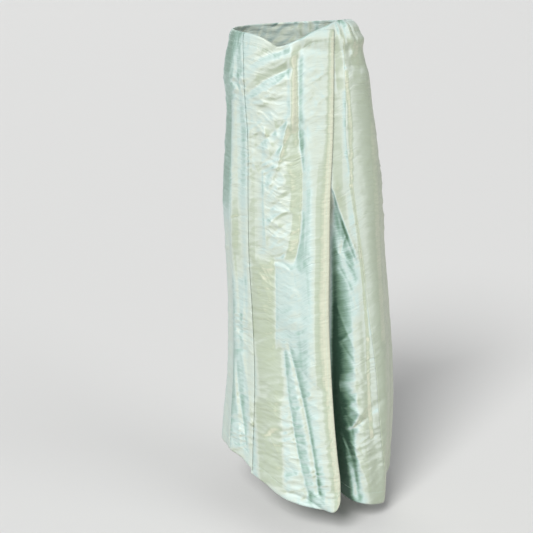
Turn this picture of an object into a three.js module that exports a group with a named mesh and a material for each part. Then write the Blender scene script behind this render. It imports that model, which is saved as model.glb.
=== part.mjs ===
// A wrap maxi skirt in thin crinkled taffeta, hollow, as it hangs when worn.
// Millimetres, +Z up. The origin is the centre of the waist opening, and the front faces -Y.
// A point of the cloth is named by an angle round the body and by its drop below the origin.
// Angle 0 is the middle of the front, and the angle grows towards +X, so 180 is the back.
import * as THREE from 'three';

// Driving dimensions
const WALL = 1.6; // the cloth, as a wall
const TURN = 0.5; // what a turned edge adds to the wall, on the inside
const SEAM_GAP = 0.6; // between two pieces that are sewn together
const LAYER_STEP = 3.9; // from the outer front's face back to the under front's face
const WAIST_TURN = 24; // depth of the turned waist edge
const HEM_TURN = 30; // depth of the hem
const WRAP_TURN = 10; // width of the narrow hem down the free edge
const STRIP_LAP = 5; // how far the strip's front edge lies over the outer front
const STRIP_RAMP = 3; // where the strip climbs onto the outer front
const TUCK_X = -60; // where the under front ends, behind the outer one
const FULL_DROP = 1080; // drop at which a hem table's angles are read

// The plan at each drop is an ellipse: its two sides, and its depth before and behind the origin.
const SECTIONS = [
  { drop: -35, left: -124, right: 128, front: 98, back: 84 },
  { drop: -18, left: -129, right: 146, front: 102, back: 88 },
  { drop: 0, left: -137, right: 155, front: 105, back: 91 },
  { drop: 13, left: -141, right: 163, front: 106, back: 93 },
  { drop: 35, left: -146, right: 161, front: 108, back: 97 },
  { drop: 65, left: -151, right: 167, front: 112, back: 102 },
  { drop: 95, left: -154, right: 176, front: 115, back: 107 },
  { drop: 160, left: -148, right: 185, front: 120, back: 116 },
  { drop: 245, left: -152, right: 198, front: 125, back: 122 },
  { drop: 370, left: -159, right: 213, front: 132, back: 130 },
  { drop: 490, left: -153, right: 221, front: 138, back: 140 },
  { drop: 630, left: -148, right: 234, front: 144, back: 152 },
  { drop: 800, left: -150, right: 247, front: 152, back: 168 },
  { drop: 940, left: -162, right: 250, front: 160, back: 182 },
  { drop: 1110, left: -170, right: 242, front: 168, back: 196 },
];

// Where the four lines down the front lie, seen from the front: the strip's two edges, the free
// edge of the wrap, and the side seam. lift is how far the free edge stands forward.
const LINES = [
  { drop: -30, ridge: -112, crisp: -92, wrap: 92, side: 104, lift: 0 },
  { drop: 0, ridge: -124, crisp: -106, wrap: 91, side: 110, lift: 0 },
  { drop: 50, ridge: -132, crisp: -107, wrap: 91, side: 114, lift: 1 },
  { drop: 125, ridge: -136, crisp: -105, wrap: 91, side: 117, lift: 2 },
  { drop: 230, ridge: -135, crisp: -98, wrap: 90, side: 120, lift: 5 },
  { drop: 365, ridge: -136, crisp: -98, wrap: 85, side: 139, lift: 14 },
  { drop: 500, ridge: -134, crisp: -96, wrap: 84, side: 159, lift: 27 },
  { drop: 625, ridge: -133, crisp: -89, wrap: 84, side: 176, lift: 37 },
  { drop: 765, ridge: -133, crisp: -84, wrap: 91, side: 195, lift: 45 },
  { drop: 870, ridge: -136, crisp: -85, wrap: 99, side: 204, lift: 51 },
  { drop: 950, ridge: -138, crisp: -88, wrap: 107, side: 211, lift: 56 },
  { drop: 1010, ridge: -140, crisp: -89, wrap: 114, side: 218, lift: 60 },
  { drop: 1110, ridge: -142, crisp: -90, wrap: 113, side: 222, lift: 65 },
];

// The waist edge's rise above the origin and the hem's drop, round each piece.
const OUTER_WAIST = [
  { angle: -62, rise: 6 },
  { angle: -44, rise: 2 },
  { angle: -31, rise: -6 },
  { angle: -23, rise: -16 },
  { angle: -17, rise: -25 },
  { angle: -5, rise: -16 },
  { angle: 6, rise: -3 },
  { angle: 11, rise: 5 },
  { angle: 16, rise: 9 },
  { angle: 24, rise: 11 },
  { angle: 36, rise: 11 },
];
const INNER_WAIST = [
  ...OUTER_WAIST.filter((row) => row.angle < 20),
  { angle: 29, rise: 21 },
  { angle: 35, rise: 26 },
  { angle: 44, rise: 30 },
  { angle: 57, rise: 31 },
  { angle: 90, rise: 28 },
  { angle: 135, rise: 24 },
  { angle: 180, rise: 19 },
  { angle: 225, rise: 14 },
  { angle: 270, rise: 9 },
  { angle: 300, rise: 6 },
];
const STRIP_HEM = [
  { angle: -62, drop: 980 },
  { angle: -42, drop: 994 },
];
const OUTER_HEM = [
  { angle: -46, drop: 1018 },
  { angle: -40, drop: 1024 },
  { angle: -29, drop: 1033 },
  { angle: -20, drop: 1049 },
  { angle: -13, drop: 1058 },
  { angle: -3, drop: 1066 },
  { angle: 6, drop: 1070 },
  { angle: 14, drop: 1076 },
  { angle: 20, drop: 1078 },
];
const INNER_HEM = [
  { angle: -35, drop: 1026 },
  { angle: 0, drop: 1052 },
  { angle: 15, drop: 1067 },
  { angle: 23, drop: 1078 },
  { angle: 30, drop: 1086 },
  { angle: 44, drop: 1096 },
  { angle: 56, drop: 1110 },
  { angle: 64, drop: 1117 },
  { angle: 72, drop: 1112 },
  { angle: 90, drop: 1090 },
  { angle: 115, drop: 1074 },
  { angle: 135, drop: 1062 },
  { angle: 180, drop: 1034 },
  { angle: 225, drop: 1000 },
  { angle: 270, drop: 980 },
  { angle: 300, drop: 980 },
];

// Folds on the front, seen from the front: each runs from one point to another with a sideways
// bow, has a half width, and pushes the cloth forward at its start and its end, or back if negative.
const OUTER_FOLDS = [
  { name: 'upper drag', x1: -24, drop1: 30, x2: -97, drop2: 62, bow: -6, half: 9, push1: -5, push2: -1 },
  { name: 'upper drag crest', x1: -20, drop1: 48, x2: -97, drop2: 88, bow: -5, half: 9, push1: 4, push2: 1 },
  { name: 'lower drag', x1: -12, drop1: 72, x2: -97, drop2: 125, bow: -5, half: 11, push1: -5, push2: -2 },
  { name: 'lower drag crest', x1: -20, drop1: 98, x2: -93, drop2: 148, bow: 4, half: 10, push1: 3, push2: 1 },
  { name: 'held ridge', x1: -3, drop1: 40, x2: -1, drop2: 190, bow: 2, half: 9, push1: 5, push2: 6 },
  { name: 'held groove', x1: 11, drop1: 50, x2: 15, drop2: 235, bow: -3, half: 8, push1: -6, push2: -7 },
  { name: 'waist roll', x1: 28, drop1: 6, x2: 88, drop2: 4, bow: 0, half: 9, push1: 4, push2: 2 },
  { name: 'waist roll groove', x1: 22, drop1: 28, x2: 70, drop2: 33, bow: 0, half: 8, push1: -4, push2: -2 },
  { name: 'leaf hollow', x1: -4, drop1: 205, x2: 2, drop2: 500, bow: -12, half: 24, push1: -6, push2: -4 },
  { name: 'leaf left crease', x1: -12, drop1: 183, x2: -58, drop2: 336, bow: 6, half: 7, push1: 3, push2: 2 },
  { name: 'leaf right crest', x1: 24, drop1: 270, x2: 12, drop2: 485, bow: -9, half: 13, push1: 5, push2: 4 },
  { name: 'upper slant', x1: -14, drop1: 185, x2: -76, drop2: 240, bow: 0, half: 8, push1: -2, push2: -2 },
  { name: 'right flute', x1: 34, drop1: 300, x2: 44, drop2: 740, bow: 5, half: 24, push1: 5, push2: 9 },
  { name: 'right flute groove', x1: 62, drop1: 260, x2: 70, drop2: 980, bow: 4, half: 14, push1: -4, push2: -7 },
  { name: 'left panel hollow', x1: -70, drop1: 520, x2: -58, drop2: 760, bow: 3, half: 20, push1: -6, push2: -7 },
  { name: 'left panel crest', x1: -38, drop1: 500, x2: -26, drop2: 800, bow: -4, half: 14, push1: 4, push2: 8 },
  { name: 'long slant groove', x1: -10, drop1: 690, x2: 62, drop2: 1030, bow: 9, half: 13, push1: -5, push2: -8 },
  { name: 'long slant crest', x1: -40, drop1: 760, x2: 26, drop2: 1040, bow: 8, half: 17, push1: 5, push2: 9 },
  { name: 'low left groove', x1: -68, drop1: 800, x2: -52, drop2: 1020, bow: -4, half: 14, push1: -5, push2: -8 },
  { name: 'low cross crease', x1: -70, drop1: 925, x2: 4, drop2: 960, bow: -8, half: 9, push1: -3, push2: -3 },
  { name: 'hem cross crease', x1: -40, drop1: 1000, x2: 40, drop2: 1035, bow: -6, half: 9, push1: -4, push2: -3 },
];
const INNER_FOLDS = [
  { name: 'tucked valley', x1: 100, drop1: 400, x2: 120, drop2: 1090, bow: -4, half: 30, push1: -4, push2: -36 },
  { name: 'front crest', x1: 122, drop1: 420, x2: 172, drop2: 1090, bow: -6, half: 26, push1: 3, push2: 34 },
  { name: 'side groove', x1: 148, drop1: 560, x2: 203, drop2: 1095, bow: -3, half: 13, push1: -2, push2: -11 },
  { name: 'pulled slant', x1: 92, drop1: 320, x2: 146, drop2: 490, bow: -5, half: 9, push1: 3, push2: 4 },
  { name: 'pulled slant groove', x1: 90, drop1: 370, x2: 140, drop2: 540, bow: -4, half: 10, push1: -3, push2: -4 },
  { name: 'low fan groove', x1: 122, drop1: 905, x2: 160, drop2: 1070, bow: 3, half: 10, push1: -4, push2: -6 },
  { name: 'low cross', x1: 140, drop1: 850, x2: 196, drop2: 905, bow: 5, half: 11, push1: 4, push2: 4 },
  { name: 'low cross groove', x1: 146, drop1: 905, x2: 200, drop2: 852, bow: 3, half: 9, push1: -4, push2: -4 },
  { name: 'side tuck', x1: 108, drop1: 62, x2: 160, drop2: 74, bow: 2, half: 9, push1: -3, push2: -4 },
  { name: 'side bulge', x1: 112, drop1: 90, x2: 150, drop2: 100, bow: 0, half: 14, push1: 3, push2: 4 },
];

// Flutes round the sides and the back: soft upright waves that deepen towards the hem.
const FLUTES = [
  { name: 'strip ridge', top: -61, hem: -61, half: 7, start: 0, grow: 0.3, depth: 8 },
  { name: 'side seam ridge', top: 41, hem: 61, half: 11, start: 60, grow: 1, depth: 10 },
  { name: 'right groove', top: 76, hem: 84, half: 10, start: 250, grow: 1, depth: -9 },
  { name: 'right back flute', top: 106, hem: 110, half: 13, start: 180, grow: 1, depth: 24 },
  { name: 'right back groove', top: 128, hem: 131, half: 10, start: 300, grow: 1, depth: -17 },
  { name: 'back flute, right', top: 150, hem: 151, half: 12, start: 260, grow: 1, depth: 22 },
  { name: 'back groove', top: 173, hem: 172, half: 11, start: 330, grow: 1, depth: -18 },
  { name: 'back flute, left', top: 197, hem: 194, half: 13, start: 240, grow: 1, depth: 20 },
  { name: 'left back groove', top: 221, hem: 216, half: 10, start: 340, grow: 1, depth: -16 },
  { name: 'left back flute', top: 242, hem: 236, half: 11, start: 280, grow: 1, depth: 18 },
  { name: 'left groove', top: 258, hem: 254, half: 9, start: 300, grow: 1, depth: -9 },
  { name: 'left flute', top: 279, hem: 278, half: 8, start: 200, grow: 1, depth: 5 },
];

// Gathers under the waist edge: waves between two angles that die away below it.
const GATHERS = [
  { from: 38, to: 86, waves: 4, depth: 2.6, reach: 55 },
  { from: 120, to: 240, waves: 9, depth: 1.8, reach: 60 },
];

// Shares of the wall between the waist turn and the hem turn at which its rows lie.
const ROW_COUNT = 23;
const ROW_CROWDING = 1.35; // over 1 crowds the rows towards the waist

const COLOURS = {
  front_overlap: 0xd3e6da,
  side_pleat: 0xcfe2e2,
  under_front: 0xc6d9c4,
  back_panel: 0x9fc6ba,
};
const CLOTH_FINISH = { roughness: 0.45, metalness: 0.0 };

// Reads a column of a table at a place between its rows, along a smooth curve through them.
function readTable(table, key, column, place) {
  const last = table.length - 1;
  const at = THREE.MathUtils.clamp(place, table[0][key], table[last][key]);
  let row = 0;
  while (row < last - 1 && table[row + 1][key] < at) {
    row += 1;
  }
  const slope = (index) => {
    const before = table[Math.max(index - 1, 0)];
    const after = table[Math.min(index + 1, last)];
    return (after[column] - before[column]) / (after[key] - before[key]);
  };
  const span = table[row + 1][key] - table[row][key];
  const t = (at - table[row][key]) / span;
  const s = 1 - t;
  const ends = s * s * (1 + 2 * t) * table[row][column] + t * t * (3 - 2 * t) * table[row + 1][column];
  return ends + span * s * t * (s * slope(row) - t * slope(row + 1));
}

const fade = (value, from, to) => THREE.MathUtils.smoothstep(value, from, to);
const bell = (distance, half) => Math.exp(-((distance / half) ** 2));

// The plan ellipse at a drop.
function planAt(drop) {
  const left = readTable(SECTIONS, 'drop', 'left', drop);
  const right = readTable(SECTIONS, 'drop', 'right', drop);
  return {
    middle: (left + right) / 2,
    halfWidth: (right - left) / 2,
    front: readTable(SECTIONS, 'drop', 'front', drop),
    back: readTable(SECTIONS, 'drop', 'back', drop),
  };
}

// The angle at which the front of the ellipse has this x.
function angleAtX(x, drop) {
  const plan = planAt(drop);
  return THREE.MathUtils.radToDeg(Math.asin(THREE.MathUtils.clamp((x - plan.middle) / plan.halfWidth, -1, 1)));
}

function lineAngle(line, drop) {
  return angleAtX(readTable(LINES, 'drop', line, drop), drop);
}

// A point of the plain ellipse, with the outward direction there.
function basePoint(angle, drop) {
  const plan = planAt(drop);
  const turn = THREE.MathUtils.degToRad(angle);
  const depth = Math.cos(turn) > 0 ? plan.front : plan.back;
  const outward = new THREE.Vector2(depth * Math.sin(turn), -plan.halfWidth * Math.cos(turn)).normalize();
  return {
    x: plan.middle + plan.halfWidth * Math.sin(turn),
    y: -depth * Math.cos(turn),
    outward,
  };
}

// How far a table of folds pushes the front forward at a point seen from the front.
function foldPush(folds, x, drop) {
  let push = 0;
  for (const fold of folds) {
    const alongX = fold.x2 - fold.x1;
    const alongDrop = fold.drop2 - fold.drop1;
    const length = Math.hypot(alongX, alongDrop);
    const t = ((x - fold.x1) * alongX + (drop - fold.drop1) * alongDrop) / length ** 2;
    const inside = THREE.MathUtils.clamp(t, 0, 1);
    const across = ((x - fold.x1) * alongDrop - (drop - fold.drop1) * alongX) / length;
    const beside = across - fold.bow * Math.sin(Math.PI * inside);
    const beyond = (t - inside) * length;
    const depth = THREE.MathUtils.lerp(fold.push1, fold.push2, inside);
    push += depth * bell(beside, fold.half) * bell(beyond, 1.5 * fold.half);
  }
  return push;
}

// How far the flutes and gathers move the cloth outward.
function waves(angle, drop) {
  let out = 0;
  for (const flute of FLUTES) {
    const share = THREE.MathUtils.clamp((drop - flute.start) / (FULL_DROP - flute.start), 0, 1.05);
    const centre = THREE.MathUtils.lerp(flute.top, flute.hem, THREE.MathUtils.clamp(drop / FULL_DROP, 0, 1));
    const apart = THREE.MathUtils.euclideanModulo(angle - centre + 180, 360) - 180;
    out += flute.depth * share ** flute.grow * bell(apart, flute.half);
  }
  for (const gather of GATHERS) {
    const along = (angle - gather.from) / (gather.to - gather.from);
    if (along > 0 && along < 1) {
      const ends = fade(along, 0, 0.15) * (1 - fade(along, 0.85, 1));
      const below = 1 - fade(drop, -20, gather.reach);
      out += gather.depth * Math.sin(2 * Math.PI * gather.waves * along) * ends * below;
    }
  }
  return out;
}

// Folds seen from the front die away where the cloth turns to the side.
const frontShare = (angle) => fade(Math.cos(THREE.MathUtils.degToRad(angle)), 0.05, 0.45);

// The outer front swings forward towards its free edge, most at the hem.
function outerForward(angle, drop) {
  const crisp = lineAngle('crisp', drop);
  const wrap = lineAngle('wrap', drop);
  const share = THREE.MathUtils.clamp((angle - crisp) / (wrap - crisp), 0, 1);
  const swing = readTable(LINES, 'drop', 'lift', drop) * (1 - (1 - share) ** 1.6);
  return swing + frontShare(angle) * foldPush(OUTER_FOLDS, basePoint(angle, drop).x, drop);
}

// The under front has folds of its own, but never comes nearer than one layer to the outer one.
function innerForward(angle, drop) {
  const own = frontShare(angle) * foldPush(INNER_FOLDS, basePoint(angle, drop).x, drop);
  const wrap = lineAngle('wrap', drop);
  const covered = 1 - fade(angle, wrap, wrap + 5);
  const held = Math.min(own, outerForward(Math.min(angle, wrap), drop) - LAYER_STEP);
  return THREE.MathUtils.lerp(own, held, covered);
}

// The back panel meets the under front on one side and the strip on the other.
function backForward(angle, drop) {
  return angle < 180 ? innerForward(angle, drop) : outerForward(angle - 360, drop);
}

function clothPoint(angle, drop, forward, out) {
  const base = basePoint(angle, drop);
  const shift = waves(angle, drop) + out;
  return new THREE.Vector3(base.x + base.outward.x * shift, base.y + base.outward.y * shift - forward, -drop);
}

// The rows of a wall: near each end they keep their distance to it, so that the turned edges
// have one width all round, and between them they are shares of the length.
function rowDrops(waistDrop, hemDrop) {
  const first = waistDrop + WAIST_TURN;
  const last = hemDrop - HEM_TURN;
  const drops = [waistDrop, waistDrop + WAIST_TURN / 2, first];
  for (let row = 0; row <= ROW_COUNT; row += 1) {
    drops.push(THREE.MathUtils.lerp(first + 1.5, last - 1.5, (row / ROW_COUNT) ** ROW_CROWDING));
  }
  drops.push(last, hemDrop - HEM_TURN / 2, hemDrop);
  return drops;
}

// A closed wall from a grid of points on its outer face and the same grid on its inner face.
function wallGeometry(outer, inner) {
  const columns = outer.length;
  const rows = outer[0].length;
  const positions = [];
  for (const grid of [outer, inner]) {
    for (const column of grid) {
      for (const point of column) {
        positions.push(point.x, point.y, point.z);
      }
    }
  }
  const out = (column, row) => column * rows + row;
  const into = (column, row) => columns * rows + column * rows + row;
  const indices = [];
  const quad = (a, b, c, d) => indices.push(a, b, c, a, c, d);
  for (let column = 0; column < columns - 1; column += 1) {
    for (let row = 0; row < rows - 1; row += 1) {
      quad(out(column, row), out(column, row + 1), out(column + 1, row + 1), out(column + 1, row));
      quad(into(column, row), into(column + 1, row), into(column + 1, row + 1), into(column, row + 1));
    }
    const end = rows - 1;
    quad(out(column, 0), out(column + 1, 0), into(column + 1, 0), into(column, 0));
    quad(out(column, end), into(column, end), into(column + 1, end), out(column + 1, end));
  }
  for (let row = 0; row < rows - 1; row += 1) {
    const end = columns - 1;
    quad(out(0, row), into(0, row), into(0, row + 1), out(0, row + 1));
    quad(out(end, row), out(end, row + 1), into(end, row + 1), into(end, row));
  }
  const geometry = new THREE.BufferGeometry();
  geometry.setAttribute('position', new THREE.Float32BufferAttribute(positions, 3));
  geometry.setIndex(indices);
  geometry.computeVertexNormals();
  return geometry;
}

// One piece of the skirt. columnAngles gives each column's angle at a drop, and out and turned
// give its lift over its neighbour and the extra wall of its turned edges.
function makePiece({ name, columnAngles, waist, hem, forward, out = () => 0, turned = () => 0 }) {
  const outer = [];
  const inner = [];
  const topAngles = columnAngles(0);
  const hemAngles = columnAngles(FULL_DROP);
  topAngles.forEach((topAngle, column) => {
    const waistDrop = -readTable(waist, 'angle', 'rise', topAngle);
    const hemDrop = readTable(hem, 'angle', 'drop', hemAngles[column]);
    const outerColumn = [];
    const innerColumn = [];
    for (const drop of rowDrops(waistDrop, hemDrop)) {
      const angle = columnAngles(drop)[column];
      const push = forward(angle, drop);
      const lift = out(column);
      const inTurn = drop <= waistDrop + WAIST_TURN || drop >= hemDrop - HEM_TURN;
      const wall = WALL + Math.max(inTurn ? TURN : 0, turned(column));
      outerColumn.push(clothPoint(angle, drop, push, lift));
      innerColumn.push(clothPoint(angle, drop, push, lift - wall));
    }
    outer.push(outerColumn);
    inner.push(innerColumn);
  });
  const material = new THREE.MeshStandardMaterial({ color: COLOURS[name], ...CLOTH_FINISH });
  const mesh = new THREE.Mesh(wallGeometry(outer, inner), material);
  mesh.name = name;
  return mesh;
}

// Half a seam gap as an angle, at a usual distance from the middle of the plan.
const HALF_GAP = THREE.MathUtils.radToDeg(SEAM_GAP / 2 / 155);

function spread(from, to, count) {
  return Array.from({ length: count + 1 }, (_, step) => THREE.MathUtils.lerp(from, to, step / count));
}

// Columns of the outer front at a drop, from under the strip to the free edge. The last three
// make the narrow hem.
const OUTER_COLUMNS = 22;
function outerAngles(drop) {
  const crispX = readTable(LINES, 'drop', 'crisp', drop);
  const wrapX = readTable(LINES, 'drop', 'wrap', drop);
  const turnAngle = angleAtX(wrapX - WRAP_TURN, drop);
  return [
    angleAtX(crispX - STRIP_LAP, drop),
    ...spread(angleAtX(crispX, drop), angleAtX(wrapX - WRAP_TURN - 1, drop), OUTER_COLUMNS - 1),
    turnAngle,
    angleAtX(wrapX, drop),
  ];
}

// Columns of the under front: behind the outer front they are its columns, and beyond its free
// edge they go on to the side seam.
const SEEN_COLUMNS = 13;
function underAngles(drop) {
  const behind = outerAngles(drop).slice(firstTucked());
  const wrap = behind[behind.length - 1];
  return [...behind, ...spread(wrap, lineAngle('side', drop) - HALF_GAP, SEEN_COLUMNS).slice(1)];
}
function firstTucked() {
  return outerAngles(0).findIndex((angle) => angle > angleAtX(TUCK_X, 0));
}

// Columns of the strip: flat from its back edge, then up onto the outer front.
const STRIP_COLUMNS = 4;
function stripAngles(drop) {
  const crispX = readTable(LINES, 'drop', 'crisp', drop);
  const climb = STRIP_LAP + STRIP_RAMP;
  return [
    ...spread(lineAngle('ridge', drop) + HALF_GAP, angleAtX(crispX - climb, drop), STRIP_COLUMNS),
    angleAtX(crispX - STRIP_LAP - 1, drop),
    angleAtX(crispX, drop),
  ];
}
const stripLift = (column) => (column > STRIP_COLUMNS ? WALL + TURN + SEAM_GAP : 0);

const BACK_COLUMNS = 46;
function backAngles(drop) {
  return spread(lineAngle('side', drop) + HALF_GAP, 360 + lineAngle('ridge', drop) - HALF_GAP, BACK_COLUMNS);
}

const skirt = new THREE.Group();
skirt.add(
  makePiece({
    name: 'front_overlap',
    columnAngles: outerAngles,
    waist: OUTER_WAIST,
    hem: OUTER_HEM,
    forward: outerForward,
    turned: (column) => (column > OUTER_COLUMNS ? TURN : 0),
  }),
  makePiece({
    name: 'side_pleat',
    columnAngles: stripAngles,
    waist: OUTER_WAIST,
    hem: STRIP_HEM,
    forward: outerForward,
    out: stripLift,
  }),
  makePiece({
    name: 'under_front',
    columnAngles: underAngles,
    waist: INNER_WAIST,
    hem: INNER_HEM,
    forward: innerForward,
  }),
  makePiece({
    name: 'back_panel',
    columnAngles: backAngles,
    waist: INNER_WAIST,
    hem: INNER_HEM,
    forward: backForward,
  }),
);

export default skirt;
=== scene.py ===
# %% [markdown]
# A wrap maxi skirt in crinkled shot taffeta. The outer front crosses over an under front and ends
# in a free, narrowly hemmed edge that hangs open below the hip. The cloth is very thin, so each
# piece here is a sheet worked out point by point from the skirt's own sizes. Everything is in
# metres in Blender, but the tables below are in millimetres, as a tailor would write them.

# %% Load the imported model
import bpy
import numpy as np
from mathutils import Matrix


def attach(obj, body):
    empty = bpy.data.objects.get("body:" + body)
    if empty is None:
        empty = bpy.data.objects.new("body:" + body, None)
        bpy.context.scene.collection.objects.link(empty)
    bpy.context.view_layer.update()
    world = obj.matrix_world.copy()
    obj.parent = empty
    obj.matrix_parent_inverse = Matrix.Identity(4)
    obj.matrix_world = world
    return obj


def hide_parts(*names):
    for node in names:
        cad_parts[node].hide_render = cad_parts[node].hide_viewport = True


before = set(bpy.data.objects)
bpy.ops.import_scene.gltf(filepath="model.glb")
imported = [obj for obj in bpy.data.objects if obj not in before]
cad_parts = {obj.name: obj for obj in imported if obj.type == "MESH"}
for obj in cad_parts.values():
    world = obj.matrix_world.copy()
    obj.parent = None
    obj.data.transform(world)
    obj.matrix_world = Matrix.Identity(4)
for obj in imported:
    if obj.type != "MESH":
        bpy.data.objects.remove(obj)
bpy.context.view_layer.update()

MM = 0.001
print("nodes in the frame:", sorted(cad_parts))

# %% [markdown]
# The worn skirt is a hollow form with an oval plan that widens towards the hem. A point of the cloth
# is named by an angle round the body (0 is the middle of the front, 90 the wearer's left) and by
# its drop below the waist. One table gives the plan at each drop, and another says where the
# lines down the front lie. A smooth curve through the rows gives the values between them.


# %% The plan and the lines down the front
def columns(names, rows):
    """Named columns of a small table: the first one is the key that the rows are sorted by."""
    return dict(zip(names.split(), np.array(rows, dtype=float).T))


def along(table, column, place):
    """A cubic through the rows, whose slope at a row is that of the line through its neighbours."""
    keys, values = next(iter(table.values())), table[column]
    rows = np.arange(len(keys))
    before, after = np.maximum(rows - 1, 0), np.minimum(rows + 1, len(keys) - 1)
    slopes = (values[after] - values[before]) / (keys[after] - keys[before])
    at = np.clip(place, keys[0], keys[-1])
    row = np.clip(np.searchsorted(keys, at, side="right") - 1, 0, len(keys) - 2)
    span = keys[row + 1] - keys[row]
    t = (at - keys[row]) / span
    s = 1 - t
    ends = s * s * (1 + 2 * t) * values[row] + t * t * (3 - 2 * t) * values[row + 1]
    return ends + span * s * t * (s * slopes[row] - t * slopes[row + 1])


PLAN = columns("drop left right front back", [
    (-35, -124, 128, 98, 84),
    (-18, -129, 146, 102, 88),
    (0, -137, 155, 105, 91),
    (13, -141, 163, 106, 93),
    (35, -146, 161, 108, 97),
    (65, -151, 167, 112, 102),
    (95, -154, 176, 115, 107),
    (160, -148, 185, 120, 116),
    (245, -152, 198, 125, 122),
    (370, -159, 213, 132, 130),
    (490, -153, 221, 138, 140),
    (630, -148, 234, 144, 152),
    (800, -150, 247, 152, 168),
    (940, -162, 250, 160, 182),
    (1110, -170, 242, 168, 196),
])
LINES = columns("drop ridge crisp wrap side lift", [
    (-30, -112, -92, 92, 104, 0),
    (0, -124, -106, 91, 110, 0),
    (50, -132, -107, 91, 114, 1),
    (125, -136, -105, 91, 117, 2),
    (230, -135, -98, 90, 120, 5),
    (365, -136, -98, 85, 139, 14),
    (500, -134, -96, 84, 159, 27),
    (625, -133, -89, 84, 176, 37),
    (765, -133, -84, 91, 195, 45),
    (870, -136, -85, 99, 204, 51),
    (950, -138, -88, 107, 211, 56),
    (1010, -140, -89, 114, 218, 60),
    (1110, -142, -90, 113, 222, 65),
])
GIRTH = 170  # millimetres of cloth for each radian round the body


def plan_at(drop):
    """The middle, half width, front depth and back depth of the oval at a drop."""
    left, right = along(PLAN, "left", drop), along(PLAN, "right", drop)
    return (left + right) / 2, (right - left) / 2, along(PLAN, "front", drop), along(PLAN, "back", drop)


def angle_at(x, drop):
    """The angle whose sine is the place of x across the half width, on the front of the oval."""
    middle, half_width, _, _ = plan_at(drop)
    return np.degrees(np.arcsin(np.clip((x - middle) / half_width, -1, 1)))


def line_angle(line, drop, aside=0.0):
    """The angle of a line down the front, moved sideways by some millimetres."""
    return angle_at(along(LINES, line, drop) + aside, drop)


def beside(line, angle, drop):
    """Millimetres of cloth from a point to a line that lies further towards the wearer's left."""
    return np.radians(line_angle(line, drop) - angle) * GIRTH


def on_oval(angle, drop):
    """A point of the plain oval, and its outward direction: the normal of an ellipse."""
    middle, half_width, front, back = plan_at(drop)
    turn = np.radians(angle)
    depth = np.where(np.cos(turn) > 0, front, back)
    out_x, out_y = depth * np.sin(turn), -half_width * np.cos(turn)
    size = np.hypot(out_x, out_y)
    return middle + half_width * np.sin(turn), -depth * np.cos(turn), out_x / size, out_y / size


for height in (0, 300, 1080):
    middle, half_width, front, back = plan_at(float(height))
    print(f"plan at a drop of {height} mm: {2 * half_width:.0f} by {front + back:.0f} mm")

# %% [markdown]
# The waist edge dips in the middle, where the wrap is pulled closed, and the hem is longest at the
# free edge. The ends of each piece are read from these tables by the angle round the body.

# %% Waist edge and hems
SHARED_WAIST = [
    (-62, 6), (-44, 2), (-31, -6), (-23, -16), (-17, -25), (-5, -16), (6, -3), (11, 5), (16, 9),
]
OUTER_WAIST = columns("angle rise", SHARED_WAIST + [(24, 11), (36, 11)])
INNER_WAIST = columns("angle rise", SHARED_WAIST + [
    (29, 21), (35, 26), (44, 30), (57, 31), (90, 28), (135, 24), (180, 19), (225, 14), (270, 9),
    (300, 6),
])
STRIP_HEM = columns("angle drop", [(-62, 980), (-52, 988), (-43, 1002), (-37, 1017)])
OUTER_HEM = columns("angle drop", [
    (-46, 1018), (-40, 1024), (-29, 1033), (-20, 1049), (-13, 1058), (-3, 1066), (6, 1070),
    (12, 1075), (16, 1076), (19, 1071), (21, 1060), (23, 1040),
])
INNER_HEM = columns("angle drop", [
    (-35, 1026), (0, 1052), (15, 1067), (23, 1078), (30, 1086), (44, 1096), (56, 1110), (64, 1117),
    (72, 1112), (90, 1090), (115, 1074), (135, 1062), (180, 1034), (225, 1000), (270, 980), (300, 980),
])
print("lowest point of the hem:", -MM * INNER_HEM["drop"].max(), "m")

# %% [markdown]
# Large folds. Those on the front are drawn as they are seen from the front: each runs from one point
# to another with a sideways bow, and pushes the cloth forward, or back where the push is negative.
# The flutes of the sides and back are upright waves that deepen towards the hem.

# %% Large folds
FOLD = "x1 drop1 x2 drop2 bow half push1 push2"
OUTER_FOLDS = columns(FOLD, [
    (-24, 30, -97, 62, -6, 9, -4.5, -1),
    (-20, 48, -97, 88, -5, 9, 5, 1),
    (-12, 72, -97, 125, -5, 11, -6, -2),
    (-20, 98, -93, 148, 4, 10, 3, 1),
    (-3, 40, -1, 190, 2, 9, 5, 6),
    (12, 50, 16, 235, -3, 9, -4, -5),
    (28, 6, 88, 4, 0, 9, 4, 2),
    (22, 28, 70, 33, 0, 8, -4, -2),
    (12, 215, 8, 490, 12, 14, -3.8, -4.5),
    (-6, 230, -16, 480, 10, 22, -3, -4),
    (-12, 183, -58, 336, 6, 7, 4, 2),
    (-14, 185, -76, 240, 0, 8, -1.2, -1.6),
    (34, 240, 44, 740, 5, 22, 4, 9),
    (-80, 190, -76, 480, 0, 14, -2, -4),
    (-40, 470, -37, 720, 3, 28, -5, -4.5),
    (-6, 690, 62, 1030, 6, 6, -2.4, -2.6),
    (-4, 700, 54, 1040, 0, 9, 0.7, 0.7),
    (-18, 700, 42, 1052, -9, 34, -3.5, -4.5),
    (-58, 909, -6, 882, 10, 8, 0.8, 0.9),
    (-52, 920, 2, 898, 13, 11, -2, -1.5),
    (-10, 1040, 78, 1074, 3, 7, -3, -3),
])
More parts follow.
